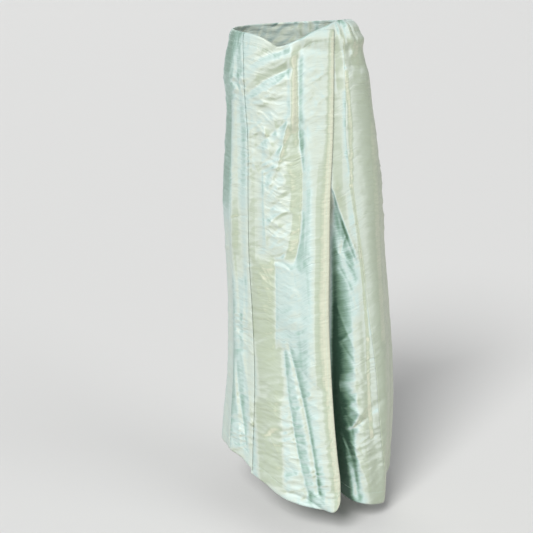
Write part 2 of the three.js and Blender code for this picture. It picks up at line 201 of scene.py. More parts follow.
INNER_FOLDS = columns(FOLD, [
    (84, 390, 98, 900, 0, 15, -12, -4),
    (94, 400, 108, 1090, -4, 31, -6, -52),
    (146, 430, 192, 1090, 0, 38, 2, 24),
    (160, 560, 210, 1095, -3, 13, -2, -7),
    (92, 320, 146, 490, -5, 9, 3, 4),
    (90, 370, 140, 540, -4, 10, -3, -4),
    (122, 905, 160, 1070, 3, 10, -4, -6),
    (140, 850, 196, 905, 5, 11, 4, 4),
    (146, 905, 200, 852, 3, 9, -4, -4),
    (108, 62, 160, 74, 2, 9, -3, -4),
    (112, 90, 150, 100, 0, 14, 3, 4),
])
FLUTES = columns("top hem half start grow depth", [
    (-61, -61, 7, 0, 0.3, 8),
    (41, 61, 11, 60, 1, 10),
    (76, 84, 10, 250, 1, -9),
    (106, 110, 13, 180, 1, 24),
    (128, 131, 10, 300, 1, -17),
    (150, 151, 12, 260, 1, 22),
    (173, 172, 11, 330, 1, -18),
    (197, 194, 13, 240, 1, 20),
    (221, 216, 10, 340, 1, -16),
    (242, 236, 11, 280, 1, 18),
    (258, 254, 9, 300, 1, -9),
    (279, 278, 8, 200, 1, 5),
])
GATHERS = columns("start end waves depth reach", [(38, 86, 4, 2.6, 55), (120, 240, 9, 1.8, 60)])
FULL_DROP = 1080
print("large folds:", len(OUTER_FOLDS["x1"]), "outer,", len(INNER_FOLDS["x1"]), "inner,",
      len(FLUTES["top"]), "flutes")

# %% [markdown]
# A fold is a shape across its line, as high as its push, that fades out past both ends. Round shapes
# make soft folds, pointed ones make creases. Waves are read from their angle in the same way.


# %% Reading the folds
def rows_of(table):
    """The rows of a table, one small dictionary each."""
    return [dict(zip(table, row)) for row in zip(*table.values())]


def ease(value, start, end):
    """Rises from 0 to 1 between start and end, flat at both ends."""
    t = np.clip((value - start) / (end - start), 0, 1)
    return t * t * (3 - 2 * t)


def bell(distance, half):
    """A soft hill of height 1, e to the minus square of the distance in half widths."""
    return np.exp(-((distance / half) ** 2))


def crest(distance, half):
    """A sharp crease of height 1 with straight flanks: it falls off with the distance itself."""
    return np.exp(-np.sqrt(distance**2 + 0.6) / half)


def flank(distance, half):
    """A V with a straight flank on its left, half wide, and a long one that dies away on its right."""
    straight = np.clip(1 + distance / half, 0, 1)
    return np.where(distance < 0, straight, np.exp(-np.maximum(distance, 0) / (1.1 * half)))


def fold_push(folds, x, drop, shape=bell, end=1.5):
    """The sum of the folds: depth, times the shape across the line, times a bell past its ends."""
    push = np.zeros(np.broadcast(x, drop).shape)
    for f in rows_of(folds):
        run_x, run_drop = f["x2"] - f["x1"], f["drop2"] - f["drop1"]
        length = np.hypot(run_x, run_drop)
        t = ((x - f["x1"]) * run_x + (drop - f["drop1"]) * run_drop) / length**2
        inside = np.clip(t, 0, 1)
        across = ((x - f["x1"]) * run_drop - (drop - f["drop1"]) * run_x) / length
        aside = across - f["bow"] * np.sin(np.pi * inside)
        depth = f["push1"] + (f["push2"] - f["push1"]) * inside
        push += depth * shape(aside, f["half"]) * bell((t - inside) * length, end * f["half"])
    return push


def front_share(angle):
    """Folds seen from the front die away where the cloth turns to the side."""
    return ease(np.cos(np.radians(angle)), 0.05, 0.45)


def waves(angle, drop):
    """Flutes grow with the drop below their start, and gathers die away below the waist."""
    out = np.zeros(np.broadcast(angle, drop).shape)
    for f in rows_of(FLUTES):
        share = np.clip((drop - f["start"]) / (FULL_DROP - f["start"]), 0, 1.05)
        centre = f["top"] + (f["hem"] - f["top"]) * np.clip(drop / FULL_DROP, 0, 1)
        apart = np.mod(angle - centre + 180, 360) - 180
        out += f["depth"] * share ** f["grow"] * bell(apart, f["half"])
    for g in rows_of(GATHERS):
        even = (angle - g["start"]) / (g["end"] - g["start"])
        t = even + 0.045 * np.sin(11 * even + 1)
        ends = ease(t, 0, 0.15) * (1 - ease(t, 0.85, 1))
        below = 1 - ease(drop, -20, g["reach"])
        swell = 0.55 + 0.45 * np.sin(7 * t)
        out += g["depth"] * np.sin(2 * np.pi * g["waves"] * t) * swell * ends * below
    return out


print("flute beside the gap:", round(float(waves(np.array(110.0), FULL_DROP)), 1), "mm at the hem")

# %% [markdown]
# On the front the cloth falls away from each pressed line in a flat slope that ends in a sharp valley.
# The slope faces the wearer's left, so it shows the olive side of the cloth: these slopes draw the
# long leaf below the waist and the fields beside the pressed strip.

# %% Flat slopes of the front
SLOPES = columns(FOLD, [
    (-38, 496, -37, 702, 1, 50, -4, -4),
    (-20, 712, 42, 1050, -9, 60, -3, -3),
    (13, 190, 8, 488, 12, 26, -2.5, -2.5),
])
print("flat slopes:", len(SLOPES["x1"]))

# %% [markdown]
# Shot cloth is pressed into flat fields, each of which lies at an angle of its own, and the colour
# jumps where one meets the next. The form alone can't show leans this small, so each field is also
# placed with the shade it takes: above zero is nearer olive and cream, below is nearer blue.

# %% Fields of shade
# Besides the shot colour, the fields hold painted shade: olive fields are darker partly as if in shade.
OUTER_SHADES = columns(FOLD, [
    (-90, 300, -90, 500, 0, 7, 0.1, 0.12),
    (-95, 170, -92, 300, 0, 3, 0.06, 0.1),
    (-66, 514, -66, 672, 0, 27, 0.23, 0.22),
    (-52, 716, -46, 806, 0, 32, 0.26, 0.22),
    (-54, 850, -46, 1020, 0, 31, 0.3, 0.28),
    (24, 300, 16, 500, 4, 9, 0.05, 0.09),
    (-76, 200, -74, 470, 0, 8, 0.08, 0.08),
    (-12, 520, -10, 690, 0, 24, 0.04, 0.05),
    (-3, 195, 4, 255, 0, 9, 0.02, 0.02),
    (0, 262, 12, 372, 6, 17, 0.13, 0.18),
    # Painted light: the next three fields lighten the shade of hollows where creases meet.
    (24, 192, 26, 300, 0, 7, 0.12, 0.06),
    (-18, 184, -24, 214, 0, 5, 0.12, 0.08),
    (-14, 24, -20, 40, 0, 6, 0.12, 0.08),
    (12, 398, -4, 488, 3, 12, 0.21, 0.22),
    (-8, 280, -24, 440, 0, 8, 0.04, 0.03),
    (-3, 52, 1, 185, 0, 6, 0.19, 0.2),
    (-13, 70, -12, 180, 0, 5, 0.06, 0.06),
    (29, 220, 31, 490, 2, 5, 0.06, 0.05),
    (20, 525, 38, 760, 0, 12, 0.07, 0.06),
    (40, 720, 62, 960, 3, 8, 0.02, 0.02),
])
STRIP_SHADES = columns(FOLD, [
    (-103, 120, -103, 560, 0, 4, -0.02, -0.03),
    # Painted highlight: a light band just inside the strip's ridge, where it turns to the front.
    (-127, 150, -126, 480, 0, 6, 0.12, 0.1),
    (-102, 640, -97, 960, 0, 8, 0.06, 0.06),
    (-121, 560, -121, 960, 0, 22, -0.13, -0.17),
    (-116, 640, -115, 960, 0, 6, -0.07, -0.07),
])
INNER_SHADES = columns(FOLD, [
    (122, 470, 131, 790, 0, 24, 0.09, 0.17),
    (133, 800, 150, 1070, 0, 26, 0.19, 0.15),
    (103, 4, 108, 112, -2, 11, 0.22, 0.24),
    (98, 128, 102, 330, 0, 12, 0.13, 0.13),
    (122, -16, 126, 14, 0, 6, 0.14, 0.14),
    (136, 20, 144, 90, 0, 9, 0.08, 0.08),
    # Painted highlight: the next three fields draw a thin cream line down a ridge beside the side seam.
    (118, 80, 132, 330, 4, 4, 0.27, 0.26),
    (132, 330, 176, 690, 4, 3.5, 0.27, 0.27),
    (176, 690, 190, 930, -2, 4, 0.26, 0.24),
    (110, 360, 124, 470, 0, 12, 0.12, 0.1),
    (97, 385, 108, 525, 0, 13, 0.12, 0.03),
    (130, 490, 152, 640, 0, 9, -0.06, -0.06),
    (160, 900, 176, 1060, 0, 14, 0.12, 0.12),
    (150, 640, 172, 900, 0, 12, 0.08, 0.1),
    (184, 200, 214, 700, 0, 7, 0.05, 0.05),
])
# Painted shadow: these fields paint the gap beside the free edge dark green, in the outer front's
# shade.
GAP_PAINTED_SHADOW = columns(FOLD, [
    (86, 345, 89, 590, 0, 17, 0.1, -0.02),
    (89.5, 612, 91, 690, 0, 17, -0.08, -0.2),
    (91.5, 714, 110, 1090, 3, 18, -0.26, -0.5),
    (104, 430, 114, 1070, 3, 38, -0.13, -0.13),
])
CREAM_INWARD, CREAM_HALF = 7, 9
OLIVE_INWARD, OLIVE_HALF = 23, 8


def field(distance, half):
    """A flat band of height 1 and a given half width, whose two edges are crisp but not hard."""
    return 1 - ease(np.abs(distance), 0.72 * half, 1.2 * half)


def fields(table, angle, drop):
    """The shade of one table's flat fields at each point, by where it is seen from the front."""
    return fold_push(table, on_oval(angle, drop)[0], drop, field, 0.8)


def outer_shade(angle, drop):
    """The outer front's fields, and the cream band and the olive one that follow its free edge."""
    inward = beside("wrap", angle, drop)
    cream = 0.29 * bell(inward - CREAM_INWARD, CREAM_HALF)
    bands = cream + 0.09 * ease(drop, 200, 320) * field(inward - OLIVE_INWARD, OLIVE_HALF)
    return fields(OUTER_SHADES, angle, drop) + bands


def strip_shade(angle, drop):
    """The strip's fields."""
    return fields(STRIP_SHADES, angle, drop)


def inner_shade(angle, drop):
    """The under front's fields, and the painted shadow that green cloth throws on itself in the gap."""
    shadow = fold_push(GAP_PAINTED_SHADOW, on_oval(angle, drop)[0], drop, bell, 0.9)
    return fields(INNER_SHADES, angle, drop) + shadow


SHADE_TABLES = (OUTER_SHADES, STRIP_SHADES, INNER_SHADES, GAP_PAINTED_SHADOW)
print("fields of shade:", sum(len(table["x1"]) for table in SHADE_TABLES))

# %% [markdown]
# Creases. Taffeta is crisp: where it is crushed it keeps sharp little ridges with flat cloth between
# them. The main creases of the front are listed from what a fitter would see, and a field
# of many short seeded ones gives the crumple between them, on the hidden sides too.

# %% Creases listed one by one
OUTER_CREASES = columns(FOLD, [
    (-22, 34, -92, 66, -5, 4, -3, -1), (-16, 56, -60, 76, 3, 3, 1.8, 1),
    (-10, 74, -92, 122, -5, 4, -3.2, -1.4), (-18, 88, -84, 132, 4, 3, 2, 1),
    (-34, 92, -80, 104, 3, 3, 1.4, 0.8), (-44, 118, -88, 146, 2, 3, -1.6, -1),
    (8, 52, 13, 190, 1, 3, -1.8, -1.8), (11, 178, 40, 222, 2, 3, -1.8, -0.8),
    (12, 196, 10, 484, 12, 3, -2.2, -2), (-12, 182, -52, 330, 6, 4, 2.6, 1.6),
    (-11, 182, -74, 239, 0, 3, -2.2, -1.6), (-23, 236, -66, 279, 2, 3, -2.4, -1.4),
    (-32, 267, -58, 336, 3, 3, -2, -1.4), (16, 203, 41, 235, 1, 3, -1.8, -1),
    (-92, 160, -72, 166, 2, 3, 1.8, 1), (-94, 186, -66, 196, -2, 3, -1.8, -1),
    (-93, 214, -70, 212, 2, 3, 1.7, 1), (-93, 246, -68, 258, 1, 3, -1.6, -1),
    (-94, 280, -74, 276, -2, 3, 1.6, 0.9), (-94, 318, -70, 326, 2, 3, -1.6, -1),
    (-92, 362, -70, 356, 2, 3, 1.4, 0.9), (-64, 300, -58, 460, -2, 3, 2.2, 2),
    (-48, 350, -16, 322, 4, 4, 1.8, 1.2), (-50, 384, -12, 350, 4, 4, -1.8, -1.2),
    (-52, 416, -8, 380, 5, 4, 2, 1.4), (-50, 448, -8, 410, 5, 4, -1.8, -1.4),
    (-44, 470, -14, 438, 4, 4, 1.8, 1.2), (-92, 470, -46, 474, 2, 3, -2.4, -1.6),
    (-84, 482, -50, 486, -2, 3, 1.6, 1.2), (-40, 500, -6, 512, 5, 4, -3.4, -2.2),
    (-36, 509, -4, 521, 5, 3, 2.4, 1.4), (-24, 486, 2, 470, 4, 4, -2, -1.2),
    (-38, 505, -37, 700, 2, 3, -1.8, -1.8), (-30, 556, 12, 570, 4, 4, 1.2, 1),
    (-28, 600, 18, 612, 4, 4, -1.4, -1), (-26, 628, 16, 640, 5, 4, 1.4, 1),
    (-30, 662, 20, 652, 4, 4, -1.4, -1), (-86, 640, -44, 630, 2, 4, 1, 0.8),
    (-84, 700, -20, 660, 5, 5, -1.2, -1), (-6, 690, 64, 1030, 7, 4, -1.6, -1.8),
    (-16, 706, 44, 1052, -10, 4, -2, -2), (2, 850, 38, 1050, -4, 4, -1.6, -1.4),
    (20, 700, 62, 730, 4, 4, -1.4, -1), (24, 742, 84, 796, -6, 4, -1.8, -1.2),
    (28, 650, 76, 664, 4, 4, 1.2, 0.8), (-60, 908, -8, 878, 12, 4, 1, 0.8),
    (-52, 918, -4, 896, 11, 5, -1.2, -0.9), (-80, 842, -20, 852, 4, 4, 1.6, 1.2),
    (-78, 866, -18, 868, 4, 4, -1.6, -1.2), (-82, 896, -56, 886, 2, 4, -1.8, -1.2),
    (-80, 950, -36, 944, 5, 4, 1.8, 1.4), (-80, 968, -30, 966, 5, 4, -1.8, -1.4),
    (-76, 990, -34, 984, 4, 4, 1.8, 1.4), (-74, 1010, -20, 1000, 3, 4, -1.6, -1.4),
    (-40, 950, 8, 990, 4, 4, -1.6, -1), (20, 880, 74, 905, 3, 4, 1.4, 0.9),
    (52, 990, 100, 985, 3, 4, 1.4, 1.2), (50, 1020, 104, 1004, -3, 4, -1.8, -1.4),
    (50, 1034, 108, 1036, -3, 4, 1.6, 1.4), (-8, 1040, 38, 1052, 3, 4, -3.6, -4.2),
    (34, 1050, 82, 1080, 3, 4, -4.2, -4.2), (-60, 1016, -34, 1040, 2, 4, 1.6, 1.4),
])
STRIP_CREASES = columns(FOLD, [
    (-128, 94, -108, 98, 1, 3, 2.2, 1.4), (-130, 104, -108, 112, 1, 3, -2.6, -1.6),
    (-126, 118, -108, 124, -1, 3, 2, 1.2), (-124, 130, -106, 132, -1, 3, -1.8, -1.2),
    (-126, 164, -104, 172, 1, 3, 1.2, 0.8), (-128, 232, -104, 226, 1, 3, -1.2, -0.8),
    (-130, 330, -106, 338, 1, 3, 1.2, 0.8), (-128, 410, -104, 402, 1, 3, -2.2, -1.4),
    (-128, 452, -102, 446, 1, 3, -1, -0.8), (-134, 470, -128, 700, -3, 4, 2, 1.8),
    (-124, 500, -116, 720, 3, 4, -2, -1.6), (-143, 430, -140, 760, 2, 4, -2.2, -2),
    (-110, 560, -112, 660, 2, 4, 1.6, 1.6), (-126, 640, -96, 652, 2, 4, 2.2, 1.6),
    (-124, 668, -94, 692, -2, 4, -2.4, -1.6), (-116, 690, -92, 724, -2, 4, 2, 1.4),
    (-128, 730, -104, 722, 2, 4, -2, -1.4), (-132, 750, -120, 960, 3, 4, 2.4, 2.4),
    (-122, 760, -104, 960, -3, 4, -2.2, -2.2), (-112, 740, -92, 900, 2, 4, 1.8, 1.6),
    (-146, 720, -144, 960, 2, 4, 2.2, 2.2), (-140, 900, -110, 908, 2, 4, -2.6, -1.8),
    (-136, 916, -108, 930, 2, 4, 2, 1.6), (-130, 952, -100, 940, 1, 4, 1.4, 1),
])
INNER_CREASES = columns(FOLD, [
    (100, -8, 124, 62, -3, 4, 3, 1.6), (108, -10, 138, 58, -4, 4, -2.8, -1.6),
    (112, 10, 119, 72, -4, 5, 3.2, 2.6), (119, 72, 134, 94, 3, 5, 2.6, 1.2),
    (126, 20, 130, 70, -3, 5, -2.4, -1.6), (140, 6, 152, 34, 3, 4, -2.4, -1.2),
    (134, 100, 160, 96, 2, 5, -1.8, -1), (120, -14, 152, 30, -3, 4, 2.4, 1.2),
    (104, 66, 156, 74, 2, 4, -2.4, -1.8), (98, 110, 120, 190, -3, 4, 2, 1.2),
    (96, 60, 104, 150, 2, 4, -1.6, -1), (104, 120, 132, 196, 4, 4, 1.2, 1),
    (100, 230, 126, 300, 4, 4, -1.3, -0.9), (88, 322, 146, 480, -4, 4, 3, 2.2),
    (88, 340, 144, 500, -3, 4, -2.6, -2), (112, 482, 122, 446, 1, 3, -2.2, -1.4),
    (106, 484, 138, 520, 2, 4, 2, 1.4), (110, 520, 150, 610, 4, 4, -1.4, -1),
    (104, 610, 160, 730, -4, 4, 1.4, 1.1), (118, 700, 172, 800, 4, 4, -1.5, -1.1),
    (130, 870, 188, 916, 3, 4, 2.4, 1.8), (134, 912, 196, 866, 3, 4, -2.6, -1.8),
    (140, 902, 200, 856, 3, 4, 2.4, 1.6), (112, 800, 124, 900, -3, 4, 2.6, 2),
    (118, 850, 146, 920, 3, 4, -2.4, -1.8), (118, 930, 148, 1000, 3, 4, 2.4, 1.8),
    (122, 911, 159, 1050, 3, 4, -2.4, -1.8), (128, 980, 152, 1060, 3, 5, 1.2, 1),
    (136, 930, 186, 1052, 3, 4, 2, 1.6), (118, 690, 150, 660, 3, 4, 1.6, 1.2),
    (160, 940, 206, 1040, -3, 4, -1.3, -1), (168, 780, 204, 838, 2, 4, 1.2, 0.9),
    (192, 260, 226, 760, 2, 4, 1.8, 1.8), (203, 420, 240, 900, -3, 4, -1.6, -1.6),
])
CREASE_TABLES = (OUTER_CREASES, STRIP_CREASES, INNER_CREASES)
print("creases placed by hand:", sum(len(table["x1"]) for table in CREASE_TABLES))

# %% [markdown]
# Between the main creases taffeta is finely crumpled all over. The first pattern for that is a few
# hundred short creases at random places, from seeded draws that come out the same each time.


# %% The crumple between them
def crumple_table(seed, count, angles, drops, lengths, halves, depths, level):
    """Short creases at seeded places: level is how far most of them turn from the level line."""
    draw = np.random.default_rng(seed)
    centre_x = draw.uniform(*np.radians(angles), count) * GIRTH
    centre_drop = draw.uniform(*drops, count)
    turn = np.radians(draw.normal(0, level, count))
    length = draw.uniform(*lengths, count)
    depth = draw.uniform(*depths, count) * draw.choice([-1, 1], count)
    run_x, run_drop = np.cos(turn) * length / 2, np.sin(turn) * length / 2
    bow = draw.normal(0, 0.08, count) * length
    values = (centre_x - run_x, centre_drop - run_drop, centre_x + run_x, centre_drop + run_drop, bow,
              draw.uniform(*halves, count), depth, depth * 0.7)
    return dict(zip(FOLD.split(), values))


FRONT_CRUMPLE = crumple_table(7, 420, (-70, 40), (20, 1090), (18, 60), (2.5, 5), (0.25, 0.9), 32)
LOW_CRUMPLE = crumple_table(11, 150, (-65, 70), (820, 1100), (20, 60), (3, 6), (0.4, 1.3), 35)
SIDE_CRUMPLE = crumple_table(23, 240, (28, 95), (-20, 1110), (20, 70), (3, 6), (0.3, 1.0), 42)
BACK_CRUMPLE = crumple_table(31, 560, (60, 305), (-20, 1080), (22, 80), (3.5, 7), (0.35, 1.2), 38)


def crumple(tables, angle, drop):
    """The crumple tables read in millimetres of girth, so that creases are as long on the sides."""
    girth = np.radians(angle) * GIRTH
    return sum(fold_push(table, girth, drop, crest) for table in tables)


CRUMPLE_TABLES = (FRONT_CRUMPLE, LOW_CRUMPLE, SIDE_CRUMPLE, BACK_CRUMPLE)
print("crumple creases:", sum(len(table["x1"]) for table in CRUMPLE_TABLES))

# %% [markdown]
# The second pattern is noise whose middle value becomes a sharp ridge. It is stretched along the weft,
# turned five ways and added up, and it is stronger where the cloth was crushed.

# %% The crinkle
LATTICE = (97, 89)
FAINT, STRONGEST = 0.24, 1.2


def soft_noise(u, v, seed):
    """Random values on a square lattice, blended between by smooth steps: it lies between 0 and 1."""
    lattice = np.random.default_rng(seed).random(LATTICE)
    cell_u, cell_v = np.floor(u).astype(int), np.floor(v).astype(int)
    t, s = ease(u - cell_u, 0, 1), ease(v - cell_v, 0, 1)

    def level(down):
        """The lattice read along u, in the row above the point or in the one below it."""
        row = (cell_v + down) % LATTICE[1]
        return lattice[cell_u % LATTICE[0], row] * (1 - t) + lattice[(cell_u + 1) % LATTICE[0], row] * t

    return level(0) * (1 - s) + level(1) * s


def ridges(u, v, seed):
    """Sharp crests where the soft noise crosses its middle value: one less its distance from it."""
    return (1 - np.abs(2 * soft_noise(u, v, seed) - 1)) ** 2


CRINKLES = columns("turn long wide depth", [
    (4, 60, 15, 2.2),
    (24, 58, 18, 2),
    (-22, 46, 14, 1.7),
    (2, 38, 8, 1),
    (60, 70, 22, 1.2),
])
CRUSHED = columns("x drop half_x half_drop share", [
    (-60, 150, 40, 70, 0.9),
    (-55, 255, 45, 60, 1),
    (-30, 400, 34, 110, 1),
    (-70, 560, 26, 90, 0.5),
    (0, 640, 26, 90, 0.6),
    (-40, 900, 60, 90, 1.2),
    (20, 1000, 60, 60, 0.9),
    (60, 1040, 40, 40, 0.9),
    (40, 800, 40, 60, 0.5),
    (55, 110, 30, 60, 0.4),
    (-118, 100, 16, 40, 0.9),
    (-118, 670, 18, 50, 1.1),
    (-118, 940, 26, 60, 1),
    (150, 880, 44, 110, 1.1),
    (130, 20, 34, 40, 1),
    (200, 960, 30, 90, 0.8),
])


def crinkle(angle, drop):
    """The sum of ridges turned and stretched in five ways, times how much the cloth was crushed."""
    girth = np.radians(angle) * GIRTH
    x = on_oval(angle, drop)[0]
    hidden = ease(-np.cos(np.radians(angle)), -0.4, 0.1)
    patches = soft_noise(girth / 95 + 20, drop / 130 + 20, 71)
    strength = FAINT + hidden * 0.9 * ease(patches, 0.32, 0.72)
    near = front_share(angle)
    for c in rows_of(CRUSHED):
        spot = bell(x - c["x"], c["half_x"])
        strength = strength + near * c["share"] * spot * bell(drop - c["drop"], c["half_drop"])
    total = np.zeros(strength.shape)
    for number, c in enumerate(rows_of(CRINKLES)):
        turn = np.radians(c["turn"])
        u = (girth * np.cos(turn) + drop * np.sin(turn)) / c["long"] + 300
        v = (drop * np.cos(turn) - girth * np.sin(turn)) / c["wide"] + 500
        bend = 1.4 * soft_noise(girth / 60 + 70, drop / 60 + 70, 90 + number)
        total += c["depth"] * (ridges(u, v + bend, 40 + number) - 0.35)
    return np.minimum(strength, STRONGEST) * total


print("crinkle at one point:", round(float(crinkle(np.array(0.0), 400.0)), 2), "mm")

# %% [markdown]
# How far forward each front lies. The outer front swings forward towards its free edge, and the
# under front has folds of its own but never comes nearer than one layer to the outer one, as two
# layers of cloth can't pass through each other.

# %% The forward push of each front
STRIP_CRISPNESS = 1.5
LAYER_STEP = 3.9
STRIP_LAP = 5
STRIP_LIFT = 2.7
WRAP_ROLL = 6
SEAM_RIDGE = 1.8
WRAP_ROLL_WIDTH = 24
INNER_REACH, OUTER_REACH = 112.0, 268.0


def outer_forward(angle, drop):
    """The swing of the wrap, plus its folds, its creases and the crumple."""
    crisp, wrap = line_angle("crisp", drop), line_angle("wrap", drop)
    share = np.clip((angle - crisp) / (wrap - crisp), 0, 1)
    swing = along(LINES, "lift", drop) * (1 - (1 - share) ** 1.6)
    x = on_oval(angle, drop)[0]
    near = front_share(angle)
    folds = fold_push(OUTER_FOLDS, x, drop)
    pressed = STRIP_CRISPNESS * fold_push(STRIP_CREASES, x, drop, crest)
    creases = fold_push(OUTER_CREASES, x, drop, crest) + pressed
    fine = crumple((FRONT_CRUMPLE, LOW_CRUMPLE), angle, drop) + crinkle(angle, drop)
    near_edge = np.clip(1 - beside("wrap", angle, drop) / WRAP_ROLL_WIDTH, 0, 1)
    rolled = WRAP_ROLL * (0.4 + 0.6 * ease(drop, 150, 420)) * near_edge**2
    slopes = fold_push(SLOPES, x, drop, flank, 0.35)
    return swing - rolled + near * (folds + slopes + creases) + fine


def inner_forward(angle, drop):
    """The under front's own folds, held one layer behind the outer front wherever that covers it."""
    x = on_oval(angle, drop)[0]
    own = fold_push(INNER_FOLDS, x, drop) + fold_push(INNER_CREASES, x, drop, crest)
    calm = 1 - 0.55 * bell(x - 112, 24) * ease(drop, 430, 520)
    fine = crumple((SIDE_CRUMPLE,), angle, drop) + crinkle(angle, drop)
    own = front_share(angle) * own + calm * fine
    own = own + SEAM_RIDGE * crest(beside("side", angle, drop), 4)
    wrap = line_angle("wrap", drop)
    covered = 1 - ease(angle, wrap, wrap + 16 - 11 * ease(drop, 200, 420))
    held = np.minimum(own, outer_forward(np.minimum(angle, wrap), drop) - LAYER_STEP)
    return own + (held - own) * covered


def back_forward(angle, drop):
    """On each side the back joins its neighbour, so it moves with it there; between, it crumples."""
    from_inner = 1 - ease(angle, 80, 110)
    from_outer = ease(angle, 270, 290)
    return from_inner * inner_forward(np.minimum(angle, INNER_REACH), drop) + (
        from_outer * outer_forward(np.maximum(angle, OUTER_REACH) - 360, drop))


def place(angle, drop, forward, out=0.0):
    """Points of the cloth in metres: the oval, moved outward by the waves and forward by the push."""
    x, y, out_x, out_y = on_oval(angle, drop)
    shift = waves(angle, drop) + out
    return np.stack([x + out_x * shift, y + out_y * shift - forward, -drop + 0 * x], axis=-1) * MM


probe = place(np.array([0.0, 90.0, 180.0]), np.array([500.0] * 3), np.zeros(3))
print("three points at a drop of 500 mm:", probe.round(3).tolist())

# %% [markdown]
# Every turned edge of a real skirt shows as a faint line of stitches that sits in a shallow groove,
# with small puckers across it. The same few functions dress the waist edge, the hem and the narrow
# hem of the free edge.

# %% Turned edges
WAIST_TURN = 24
HEM_TURN = 30
WRAP_TURN = 10


def pucker(run, seed, pitch):
    """A lively ripple along a stitch line: three sines whose lengths share no common multiple."""
    phase = np.random.default_rng(seed).uniform(0, 2 * np.pi, 3)
    sines = [np.sin(2 * np.pi * run / (pitch * k) + p) for k, p in zip((1, 1.63, 2.7), phase)]
    return (sines[0] + 0.8 * sines[1] + 0.9 * sines[2]) / 2.7


def turned_edge(distance, run, turn, seed):
    """Relief by distance from an edge: rounded over at the edge, a groove at the stitches, puckers."""
    roll = -1.3 * np.exp(-np.maximum(distance, 0) / 1.6)
    groove = -0.8 * bell(distance - turn, 1.6)
    band = 0.35 * (1 - ease(distance, turn - 1, turn + 1))
    ripple = 0.5 * pucker(run, seed, 13) * bell(distance - turn, 9)
    return roll + groove + band + ripple


print("groove of a stitch line:", round(float(turned_edge(np.array(30.0), 0.0, 30, 1)), 2), "mm")

# %% [markdown]
# A sheet is a grid: one parameter runs across it from seam to seam, the other from waist to hem. Its
# facing, worked out from the grid's own normals, is kept as an attribute: shot taffeta is woven from
# threads of two colours, so it looks blue-green from one side and olive-cream from the other.

# %% The sheet maker
SIZES = {  # points across and down
    "outer_front_cloth": (93, 381),
    "strip_cloth": (25, 361),
    "under_front_cloth": (101, 361),
    "back_cloth": (181, 251),
}
CLOTH_THICKNESS = 0.0009
# Painted reflection: cloth facing up is drawn bluer, as if mirroring the sky; cloth facing down, olive.
PAINTED_SKY_SHARE = 0.22
BODY_SHARE = 0.95
LEFT_LIMIT, LEFT_EXTRA, RIGHT_LIMIT = 0.40, 0.45, 0.45


def unit(vectors):
    """Each vector divided by its own length."""
    return vectors / np.linalg.norm(vectors, axis=-1, keepdims=True)


def grid_normals(points):
    """The cross product of the steps down and across the grid, made one long."""
    return unit(np.cross(np.gradient(points, axis=0), np.gradient(points, axis=1)))


def cloth_lengths(points):
    """The lengths run across and down the grid, summed in metres, for the weave's own map."""
    step_u = np.linalg.norm(np.diff(points, axis=1), axis=-1)
    step_v = np.linalg.norm(np.diff(points, axis=0), axis=-1)
    u = np.concatenate([np.zeros((len(points), 1)), np.cumsum(step_u, axis=1)], axis=1)
    v = np.concatenate([np.zeros((1, points.shape[1])), np.cumsum(step_v, axis=0)], axis=0)
    return np.stack([u - u[:, u.shape[1] // 2][:, None], v], axis=-1)


def add_object(name, data):
    """An object that holds the data, linked to the scene."""
    made = bpy.data.objects.new(name, data)
    bpy.context.scene.collection.objects.link(made)
    return made


def sheet_mesh(name, points, lean, shade):
    """The grid's quads, with thickness on the inner side. The facing is a half, plus half of the
    sideways lean less the body's, less a share of the upward lean, plus the shade of the field."""
    rows, cols = points.shape[:2]
    index = np.arange(rows * cols).reshape(rows, cols)
    corners_of = (index[:-1, :-1], index[1:, :-1], index[1:, 1:], index[:-1, 1:])
    quads = np.stack(corners_of, axis=-1).reshape(-1, 4)
    mesh = bpy.data.meshes.new(name)
    mesh.vertices.add(rows * cols)
    mesh.vertices.foreach_set("co", points.reshape(-1))
    mesh.loops.add(quads.size)
    mesh.loops.foreach_set("vertex_index", quads.reshape(-1).astype(np.int32))
    mesh.polygons.add(len(quads))
    mesh.polygons.foreach_set("loop_start", np.arange(0, quads.size, 4, dtype=np.int32))
    mesh.update(calc_edges=True)
    mesh.polygons.foreach_set("use_smooth", np.ones(len(quads), dtype=bool))
    flat = cloth_lengths(points).reshape(-1, 2)[quads.reshape(-1)]
    mesh.uv_layers.new(name="cloth").data.foreach_set("uv", flat.reshape(-1))
    normal = grid_normals(points)
    turned = 0.5 + 0.5 * (normal[..., 0] - lean) - PAINTED_SKY_SHARE * normal[..., 2] + shade
    facing = mesh.attributes.new("facing", "FLOAT", "POINT")
    facing.data.foreach_set("value", turned.reshape(-1).astype(np.float32))
    piece = add_object(name, mesh)
    shell = piece.modifiers.new("thickness of the cloth", "SOLIDIFY")
    shell.thickness = CLOTH_THICKNESS
    shell.offset = -1
    return piece


def facing_of_body(angle, drop):
    """The share of the body's own roundness that the colour leaves out, so that folds show more."""
    behind = ease(-np.cos(np.radians(angle)), -0.25, 0.2)
    left_limit = LEFT_LIMIT + LEFT_EXTRA * np.maximum(ease(drop, 330, 480), behind)
    return BODY_SHARE * np.clip(on_oval(angle, drop)[2], -left_limit, RIGHT_LIMIT)


pieces = {}


